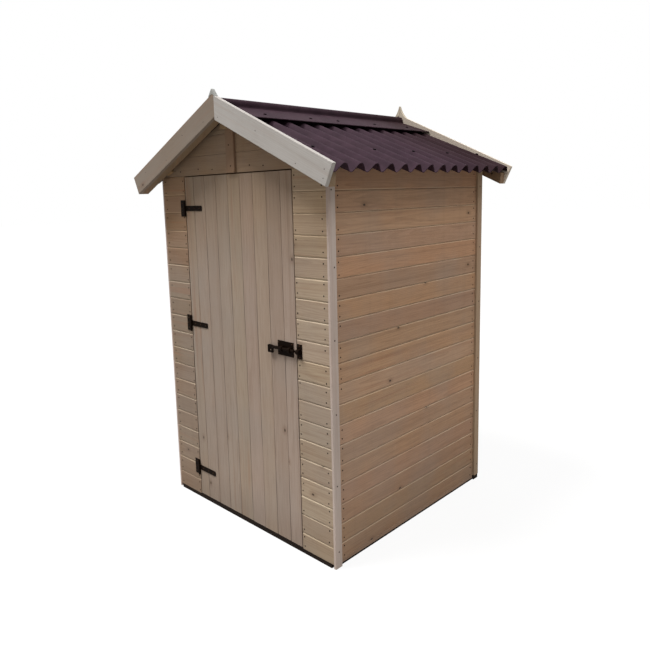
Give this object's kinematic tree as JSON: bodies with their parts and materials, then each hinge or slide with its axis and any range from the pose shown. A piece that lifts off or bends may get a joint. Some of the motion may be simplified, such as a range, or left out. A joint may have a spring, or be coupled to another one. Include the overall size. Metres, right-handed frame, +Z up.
{
  "type": "wooden garden shed",
  "caption": "Small boarded garden shed with a corrugated gable roof, bargeboards, finials, and a ledged door on T hinges with a sliding bolt.",
  "frame": {"origin": "centre of the shed's outline on the ground, under its bearers", "axes": "+X to the right seen from the door side, the door faces -Y, +Z up"},
  "size_m": [1.394, 1.3664, 2.0694],
  "materials": {
    "cladding": "weathered planed softwood",
    "trim": "weathered softwood, greyed",
    "door": "weathered planed softwood",
    "framing": "sawn softwood",
    "base": "dark treated timber",
    "roofing": "dusty bituminous corrugated sheet",
    "ironmongery": "black"
  },
  "bodies": {
    "shed": {"front_wall_left": "cladding", "front_wall_right": "cladding", "front_gable": "cladding", "back_wall": "cladding", "left_wall": "cladding", "right_wall": "cladding", "gable_strip": "trim", "corner_strip_front_left": "trim", "corner_strip_front_right": "trim", "corner_strip_back_left": "trim", "corner_strip_back_right": "trim", "bargeboard_front_left": "trim", "bargeboard_front_right": "trim", "bargeboard_back_left": "trim", "bargeboard_back_right": "trim", "front_finial": "trim", "back_finial": "trim", "floor_deck": "framing", "front_frame_left": "framing", "front_frame_right": "framing", "door_head": "framing", "back_frame": "framing", "left_frame": "framing", "right_frame": "framing", "ridge_beam": "framing", "left_purlin": "framing", "right_purlin": "framing", "front_rafters": "framing", "back_rafters": "framing", "floor_bearers": "base", "left_roof_sheet": "roofing", "right_roof_sheet": "roofing", "ridge_cap": "roofing", "hinge_plate_top": "ironmongery", "hinge_plate_middle": "ironmongery", "hinge_plate_bottom": "ironmongery", "bolt_keeper": "ironmongery"},
    "door": {"door_boards": "door", "door_ledges": "framing", "hinge_strap_top": "ironmongery", "hinge_strap_middle": "ironmongery", "hinge_strap_bottom": "ironmongery", "bolt_plate": "ironmongery"},
    "bolt": {"bolt_rod": "ironmongery"}
  },
  "joints": [
    {"name": "door_hinge", "type": "hinge", "parent": "shed", "child": "door", "pos_m": [-0.3825, -0.5925, 0.949], "axis": [0, 0, -1], "range_deg": [0, 130]},
    {"name": "bolt_slide", "type": "slide", "parent": "door", "child": "bolt", "axis": [1, 0, 0], "range_m": [0, 0.04]}
  ]
}
